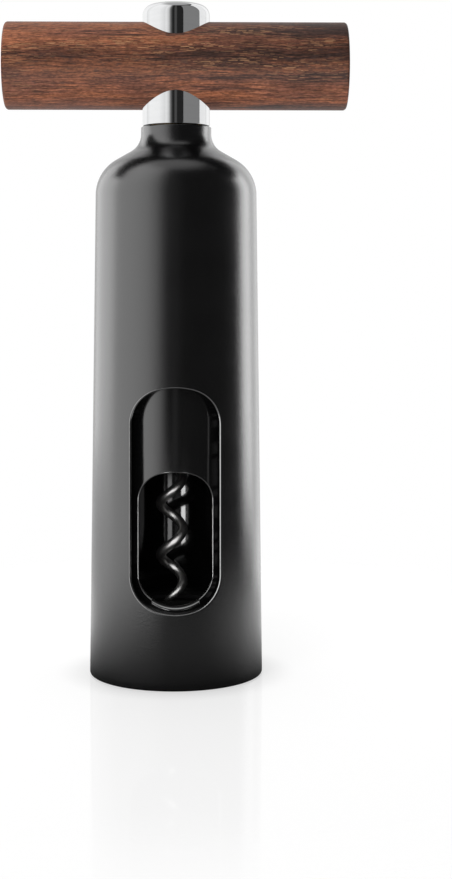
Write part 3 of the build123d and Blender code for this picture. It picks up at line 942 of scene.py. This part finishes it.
def dashes(place, rows, lengths):
    """Straight dashes along X in rows round the handle, each row set off by a random length. rows
    and lengths are counts per metre. From 0 to 1: a random strength for each dash, times a shape
    that fades to its sides and ends."""
    tree = place.tree
    x, y, z = axes(place)
    lane = maths("ARCTAN2", y, z - HANDLE_AXIS) * (rows * BAR_RADIUS)
    row = maths("FLOOR", lane)
    offset = flow(tree, "ShaderNodeTexWhiteNoise", {"W": row}, noise_dimensions="1D")
    run = x * lengths + offset * 17.0
    cell = flow(tree, "ShaderNodeCombineXYZ", {0: maths("FLOOR", run), 1: row})
    strength = flow(tree, "ShaderNodeTexWhiteNoise", {"Vector": cell}, noise_dimensions="2D")
    across, along = (remap(abs(maths("FRACT", place_in_row) - 0.5), edge, full)
                     for place_in_row, edge, full in ((lane, 0.36, 0.1), (run, 0.5, 0.3)))
    return remap(strength, 0.7, 1.0, smooth=False) * (across * along)


def drawn(place, along, across, detail=3.0, roughness=0.55, shift=(0.0, 0.0, 0.0)):
    """Noise drawn out along X, with its cells per metre along and across."""
    return noise(stretched(place, (along, across, across), shift), 1.0, detail, roughness)


def rosewood_material(finish):
    """Dark rosewood, solid through the bar. The ground goes from red brown to charcoal in long
    streaks, more so towards +X and the top and in a band at the axis height. On top of that,
    painted light makes the upper left lighter and the upper right darker, and the band darker
    still. Fibres are a finer noise drawn out along X, and pores are short pale or dark dashes."""
    material, shader = new_material("oiled_rosewood")
    tree = shader.id_data
    place = object_place(tree)
    warp = flow(tree, "ShaderNodeTexNoise", {"Vector": place, "Scale": 38.0, "Detail": 2.0},
                output="Color")
    warp = flow(tree, "ShaderNodeVectorMath", {0: warp, 1: (0.5, 0.5, 0.5)}, operation="SUBTRACT")
    warp = flow(tree, "ShaderNodeVectorMath", {0: warp, "Scale": 0.0025}, operation="SCALE")
    bent = flow(tree, "ShaderNodeVectorMath", {0: place, 1: warp}, operation="ADD")
    broad = drawn(bent, 16.0, 260.0, detail=4.0)
    patch = drawn(bent, 30.0, 90.0, detail=2.0, shift=(3.1, 0.4, 7.7))
    fine = drawn(bent, 70.0, 1900.0, detail=4.0, roughness=0.7)
    fibre = drawn(place, 210.0, 2900.0, detail=2.0, roughness=0.7)
    speckle = drawn(place, 1000.0, 2300.0, detail=1.0, shift=(4.4, 1.3, 0.9))
    pores = drawn(place, 500.0, 3000.0, detail=0.0, shift=(0.7, 2.9, 5.3))
    clusters = drawn(bent, 34.0, 300.0, shift=(1.9, 6.1, 2.2))

    x, _, z = axes(bent)
    high = remap(z, HANDLE_AXIS - 0.002, HANDLE_AXIS + 0.009)
    corner = high * remap(x, -0.01, 0.045)
    # A band at the axis height, darker in the streaks and in the tone
    axis_band = remap(abs(z - HANDLE_AXIS), 0.001, 0.009, 1.0, 0.0)
    layers = broad * 0.55 + fine * 0.45 - (corner * 0.07 + axis_band * 0.02)
    bright = remap(layers * 0.65 + patch * 0.35, 0.48, 0.585)
    dark = remap(layers, 0.48, 0.37)
    tone = blend_colours(bright * 0.9, finish.wood_middle, finish.wood_bright)
    tone = blend_colours(dark * 0.85, tone, finish.wood_dark)
    shade = (remap(fine, 0.3, 0.7, 0.72, 1.28, smooth=False)
             * remap(fibre, 0.25, 0.75, 0.4, 1.6, smooth=False)
             * remap(speckle, 0.25, 0.75, 0.65, 1.35, smooth=False))
    # Painted light: the upper left is lighter and the upper right darker, as if lit from the upper left, and the
    # band at the axis height is darker
    lean = (high * x * -9.0 + 1.12) * (1.0 - axis_band * 0.55)
    tone = toned(tone, shade * lean)

    lines = maths("MAXIMUM", dashes(bent, 3100.0, 620.0), dashes(bent, 2300.0, 300.0))
    side = remap(abs(x), BAR_END - 0.001, BAR_END, 1.0, 0.0)
    open_pores = (remap(clusters, 0.36, 0.66)
                  * remap(z, HANDLE_AXIS - 0.008, HANDLE_AXIS + 0.004, 0.35, 1.0))
    tone = blend_colours(lines * side * open_pores, tone, finish.wood_fleck)
    deep = remap(pores, 0.38, 0.28)
    tone = blend_colours(deep * 0.6, tone, finish.wood_dark)
    feed(shader, {"Base Color": tone, "Roughness": remap(fibre, 0.3, 0.7, 0.42, 0.58),
                  "Specular IOR Level": 0.2})
    bumped(shader, fibre - deep * 0.8, strength=0.3, distance=0.00006)
    return material


def dress(slot, material):
    """Gives a material to every node of the frame whose record names the slot."""
    for part in frame["record"]["subparts"]:
        node = frame["nodes"][part["node"]]
        if part["material_slot"] == slot:
            node.data.materials.clear()
            node.data.materials.append(material)


# Stage

BLACK = ("casing_shell", "sleeve_tube", "worm_wire")
CHROME = ("post", "cap")
SLEEVE = ("sleeve_tube",)
STRIP_MIDDLE = 0.49  # height of the tall strips beside the casing
WINDOW_AIM = 0.036  # height in the window that its lamps face
# Name, azimuth in degrees, distance, height, size, level, height that it faces, lit pieces
CARDS = (
    ("right_strip", 113, 0.6, STRIP_MIDDLE, (0.25, 1.04), 4.2, STRIP_MIDDLE, BLACK),
    ("right_edge_strip", 142, 0.6, MIDDLE, (0.36, 1.6), 0.9, MIDDLE, BLACK),
    ("left_strip", -122, 0.6, STRIP_MIDDLE, (0.6, 0.98), 1.1, STRIP_MIDDLE, BLACK),
    ("grey_card", 56, 0.5, MIDDLE, (0.6, 2.0), 0.34, MIDDLE, CHROME),
    ("white_card", 104, 0.5, MIDDLE, (0.3, 2.0), 1.5, MIDDLE, CHROME),
    ("soft_card", -28.7, 0.5, MIDDLE, (0.126, 2.0), 0.3, MIDDLE, CHROME),
    ("edge_card", 136, 0.5, MIDDLE, (0.27, 2.0), 0.65, MIDDLE, CHROME),
    ("left_card", -140, 0.5, MIDDLE, (0.36, 2.0), 0.4, MIDDLE, CHROME),
    ("bore_light", -13.5, 0.154, 0.019, (0.022, 0.026), 6.5, WINDOW_AIM, SLEEVE),
    ("faint_bore_light", 13.2, 0.154, 0.019, (0.022, 0.03), 1.4, WINDOW_AIM, SLEEVE),
    ("lip_light", 0, 0.25, 0.5, (0.4, 0.3), 0.5, WINDOW_AIM, SLEEVE),
    ("worm_light", 0, 0.5, 0.2, (1.5, 0.7), 2.2, WINDOW_AIM, ("worm_wire",)),
    ("wood_light", 0, 0.3, 0.03, (0.5, 0.15), 3.2, HANDLE_AXIS, ("handle_bar",)),
)


def studio_world():
    """White for the camera, and plain dim light for diffuse rays. In reflections the surroundings
    go round in azimuth from the camera's direction: light on the left and behind, and black in
    front, with a pale gap where the camera stands. Overhead they merge into one grey."""
    levels = [(-180, 0.95), (-150, 1.0), (-125, 1.3), (-100, 1.7), (-60, 1.65), (-38, 1.35),
              (-28, 0.95), (-19, 0.34), (-14, 0.08), (-10, 0.03), (-6, 0.03), (-4, 0.12), (2, 0.12),
              (4, 0.03), (92, 0.03), (121, 0.05), (124, 0.95), (180, 0.95)]
    brightest = 2.0
    diffuse_level = 0.4
    overhead_level = 0.7
    world = bpy.data.worlds.new("studio")
    bpy.context.scene.world = world
    world.use_nodes = True
    tree = world.node_tree
    x, y, z = axes(flow(tree, "ShaderNodeTexCoord", output="Generated"))
    place = maths("ARCTAN2", x, y * -1.0) / (2 * math.pi) + 0.5
    ramp = add_node(tree, "ShaderNodeValToRGB", {0: place})
    stops = ramp.color_ramp.elements
    stops.remove(stops[1])
    for azimuth, level in levels:
        share = azimuth / 360 + 0.5
        stop = stops.new(share) if share else stops[0]
        stop.position = share
        stop.color = (level / brightest,) * 3 + (1,)
    pattern = blend(remap(z, 0.86, 0.98), Flow(ramp.outputs[0]) * brightest, overhead_level)
    camera, _, _, mirrored = ray_kinds(tree)
    strength = blend(camera, blend(mirrored, diffuse_level, pattern), 1.0)
    feed(tree.nodes["Background"], {"Color": (1, 1, 1), "Strength": strength})


def pale_floor(floor_radius):
    """A round white floor with a faint gloss, lifted to white for the camera. It fades into the
    white surroundings towards its rim. For mirrored rays its colour and glow are painted shade
    round the foot and in front and painted light behind, standing for the object's shadow; for
    the camera a painted contact shadow lowers the lift round the foot, and inside the casing it
    isn't lifted."""
    lift = 0.58
    behind_share = 0.5
    front_share = 0.22
    camera_gloss = 0.06
    rings = np.linspace(0, 1, 9)[:, None] ** 2 * floor_radius
    grid = turned(np.concatenate([rings, np.zeros_like(rings)], axis=1), all_round(64))
    points, faces, _ = joined([(grid, True)])
    mesh = bpy.data.meshes.new("floor")
    mesh.from_pydata(points, [], faces[:, ::-1])
    material, shader = new_material("pale_floor")
    tree = shader.id_data
    camera, glossy, shadow, mirrored = ray_kinds(tree)
    reach = axis_distance(tree)
    # Painted shade and light for mirrored rays: dark round the foot and in front, lighter behind, standing for the
    # object's shadow on the floor
    behind = remap(reach + axes(object_place(tree))[1], 0.01, 0.14, smooth=False)
    shaded = grey(maths("MAXIMUM", behind, 0.08))
    painted_mirror_light = (behind * behind_share
                   + remap(reach, 0.03, 0.12, 0.0, front_share, smooth=False))
    seen = maths("MAXIMUM", camera * lift, mirrored * painted_mirror_light)
    # No lift inside the casing, and round the foot the lift drops to 0.8 as a painted contact shadow
    painted_foot_shadow = remap(reach, 0.0205, 0.0235) * remap(reach, 0.0245, 0.036, 0.8, 1.0)
    fade = remap(reach, 0.6 * floor_radius, floor_radius, 1.0, 0.0)
    passing = shadow * remap(reach, 0.035, 0.06)
    feed(shader, {
        "Roughness": 0.05,
        "Base Color": blend_colours(mirrored, (0.7, 0.7, 0.7), shaded),
        "Emission Color": (1, 1, 1),
        "Emission Strength": seen * painted_foot_shadow,
        "Specular IOR Level": (1.0 - glossy) * camera_gloss,
        "Alpha": fade * (1.0 - passing),
    })
    mesh.materials.append(material)
    floor = add_object("floor", mesh)


def dark_card(half_length, half_width, height):
    """A level card that only mirrored rays see, black from below and clear from above. It stands
    for the handle's underside as painted shade, black as if unlit, because mirrored rays pass
    the handle."""
    corners = [(x * half_length, y * half_width, height)
               for x, y in ((-1, -1), (1, -1), (1, 1), (-1, 1))]
    mesh = bpy.data.meshes.new("dark_card")
    mesh.from_pydata(corners, [], [(0, 1, 2, 3)])
    material, shader = new_material("card_black")
    underside = flow(shader.id_data, "ShaderNodeNewGeometry", output="Backfacing")
    feed(shader, {"Base Color": (0, 0, 0), "Specular IOR Level": 0, "Alpha": underside})
    mesh.materials.append(material)
    card = add_object("dark_card", mesh)
    for ray in ("camera", "diffuse", "shadow", "transmission"):
        setattr(card, "visible_" + ray, False)


def lamp_panel(name, azimuth, distance, height, size, level, aim_height):
    """A flat area lamp at an azimuth from the front, facing the axis at a height. Its level is the
    brightness of its face, and its power is level x pi x area."""
    lamp = bpy.data.lights.new(name, "AREA")
    lamp.shape = "RECTANGLE"
    lamp.size, lamp.size_y = size
    lamp.energy = level * math.pi * size[0] * size[1]
    panel = add_object(name, lamp)
    turn = math.radians(azimuth)
    panel.location = (distance * math.sin(turn), -distance * math.cos(turn), height)
    aim = Vector((0, 0, aim_height)) - panel.location
    panel.rotation_euler = aim.to_track_quat("-Z", "Y").to_euler()
    panel.visible_camera = False
    return panel


def shine_only_on(panel, names):
    """Links a lamp to some pieces, as a card that a photographer holds up for one finish."""
    receivers = bpy.data.collections.new(panel.name + "_receivers")
    for name in names:
        receivers.objects.link(bpy.data.objects[name])
    panel.light_linking.receiver_collection = receivers


def photo_camera(stage):
    """A level camera at the photograph's distance and height. The frame's crop gives the upward
    shift, and a small yaw puts the worm's axis in its column."""
    turn = stage.camera_turn
    aim = math.atan((PHOTO_WIDTH / 2 - stage.axis_column) / stage.focal_pixels)
    camera = bpy.data.cameras.new("photo_camera")
    camera.sensor_width = 36
    camera.lens = camera.sensor_width * stage.focal_pixels / PHOTO_HEIGHT
    camera.shift_y = (stage.horizon_row - PHOTO_HEIGHT / 2) / PHOTO_HEIGHT
    camera.clip_start = 0.01
    camera.clip_end = 20
    holder = add_object("photo_camera", camera)
    holder.location = (stage.camera_distance * math.sin(turn),
                       -stage.camera_distance * math.cos(turn), stage.camera_height)
    holder.rotation_euler = (math.pi / 2, 0, turn - aim)
    bpy.context.scene.camera = holder


# Operators

class CORKSCREW_OT_finishes(bpy.types.Operator):
    """Makes the shared node groups and the materials, and dresses the nodes of the frame"""
    bl_idname = "corkscrew.finishes"
    bl_label = "Finishes"

    def execute(self, context):
        finish = context.scene.corkscrew_finish
        moulded_skin_group()
        turned_metal_group()
        dress("casing_black", moulded_material(
            "satin_moulding", finish.casing, grain=0.0004, roughness=0.24, drift=0.04,
            depth=0.00012, level=1.0, rim_ior=2.8))
        dress("sleeve_black", sleeve_material(finish.sleeve))
        dress("inner_black", moulded_material(
            "plain_moulding", finish.inner, grain=0.0003, roughness=0.45, drift=0.06,
            depth=0.00003, level=0.5))
        dress("gasket_rubber", moulded_material(
            "matt_rubber", finish.rubber, grain=0.00035, roughness=0.8, drift=0.08,
            depth=0.00005, level=0.4))
        dress("plain_steel", turned_material(
            "turned_steel", finish.steel, spacing=0.0002, roughness=0.28, ring_depth=0.2))
        dress("bush_brass", turned_material(
            "turned_brass", finish.brass, spacing=0.00025, roughness=0.32, ring_depth=0.2))
        dress("polished_chrome", chrome_material(finish.chrome))
        dress("worm_coating", worm_material(finish.worm))
        dress("rosewood", rosewood_material(finish))
        return {"FINISHED"}


class CORKSCREW_OT_casing(bpy.types.Operator):
    """Makes the bell-shaped casing with its window"""
    bl_idname = "corkscrew.casing"
    bl_label = "Casing"

    def execute(self, context):
        scene = context.scene
        make_piece("casing_shell", casing_patches(scene.corkscrew_casing, scene.corkscrew_sleeve),
                   "casing_body", "satin_moulding", "casing")
        return {"FINISHED"}


class CORKSCREW_OT_sleeve(bpy.types.Operator):
    """Makes the sliding sleeve with its window and bevelled lip"""
    bl_idname = "corkscrew.sleeve"
    bl_label = "Sleeve"

    def execute(self, context):
        scene = context.scene
        make_piece("sleeve_tube", sleeve_patches(scene.corkscrew_sleeve, scene.corkscrew_casing),
                   "sleeve_body", "smooth_moulding", "guide_sleeve")
        return {"FINISHED"}


class CORKSCREW_OT_worm(bpy.types.Operator):
    """Makes the worm with its ground point"""
    bl_idname = "corkscrew.worm"
    bl_label = "Worm"

    def execute(self, context):
        make_piece("worm_wire", worm_patches(context.scene.corkscrew_worm),
                   "handle_body", "coated_wire", "worm")
        return {"FINISHED"}


class CORKSCREW_OT_post(bpy.types.Operator):
    """Makes the chromed post and its cap"""
    bl_idname = "corkscrew.post"
    bl_label = "Post and cap"

    def execute(self, context):
        sizes = context.scene.corkscrew_handle
        make_piece("post", post_patches(sizes),
                   "handle_body", "bright_chrome", "handle_post")
        make_piece("cap", cap_patches(sizes),
                   "handle_body", "bright_chrome", "post_cap")
        return {"FINISHED"}


class CORKSCREW_OT_handle(bpy.types.Operator):
    """Makes the wooden bar with its bores"""
    bl_idname = "corkscrew.handle"
    bl_label = "Wooden handle"

    def execute(self, context):
        make_piece("handle_bar", handle_patches(context.scene.corkscrew_handle),
                   "handle_body", "oiled_rosewood", "wooden_handle")
        return {"FINISHED"}


class CORKSCREW_OT_stage(bpy.types.Operator):
    """Makes the floor, the light and the camera"""
    bl_idname = "corkscrew.stage"
    bl_label = "Stage"

    def execute(self, context):
        stage = context.scene.corkscrew_stage
        context.scene.view_settings.view_transform = "Standard"
        studio_world()
        pale_floor(stage.floor_radius)
        front = lamp_panel("front_panel", -20, 1.5, 0.7, (stage.fill_size, stage.fill_size),
                           stage.fill_level, MIDDLE)
        front.visible_glossy = False
        for *lamp, names in CARDS:
            shine_only_on(lamp_panel(*lamp), names)
        # Mirrored rays pass the handle; the black card below stands for it there as painted shade
        bpy.data.objects["handle_bar"].visible_glossy = False
        dark_card(half_length=0.078, half_width=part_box("wooden_handle")[1].y, height=HANDLE_AXIS)
        photo_camera(stage)
        return {"FINISHED"}


class CORKSCREW_PT_panel(bpy.types.Panel):
    """Lists the corkscrew's operators"""
    bl_idname = "CORKSCREW_PT_panel"
    bl_label = "Corkscrew"
    bl_space_type = "VIEW_3D"
    bl_region_type = "UI"
    bl_category = "Corkscrew"

    def draw(self, context):
        for operator in OPERATORS:
            self.layout.operator(operator.bl_idname)


SETTINGS = {
    "corkscrew_casing": CORKSCREW_PG_casing,
    "corkscrew_sleeve": CORKSCREW_PG_sleeve,
    "corkscrew_worm": CORKSCREW_PG_worm,
    "corkscrew_handle": CORKSCREW_PG_handle,
    "corkscrew_stage": CORKSCREW_PG_stage,
    "corkscrew_finish": CORKSCREW_PG_finish,
}
OPERATORS = (
    CORKSCREW_OT_finishes,
    CORKSCREW_OT_casing,
    CORKSCREW_OT_sleeve,
    CORKSCREW_OT_worm,
    CORKSCREW_OT_post,
    CORKSCREW_OT_handle,
    CORKSCREW_OT_stage,
)


def register():
    for group in SETTINGS.values():
        bpy.utils.register_class(group)
    for name, group in SETTINGS.items():
        setattr(bpy.types.Scene, name, PointerProperty(type=group))
    for operator in OPERATORS:
        bpy.utils.register_class(operator)
    bpy.utils.register_class(CORKSCREW_PT_panel)


def unregister():
    bpy.utils.unregister_class(CORKSCREW_PT_panel)
    for operator in reversed(OPERATORS):
        bpy.utils.unregister_class(operator)
    for name, group in reversed(SETTINGS.items()):
        delattr(bpy.types.Scene, name)
        bpy.utils.unregister_class(group)


def main():
    register()
    bpy.ops.corkscrew.finishes()
    bpy.ops.corkscrew.casing()
    bpy.ops.corkscrew.sleeve()
    bpy.ops.corkscrew.worm()
    bpy.ops.corkscrew.post()
    bpy.ops.corkscrew.handle()
    bpy.ops.corkscrew.stage()


if __name__ == "__main__":
    main()
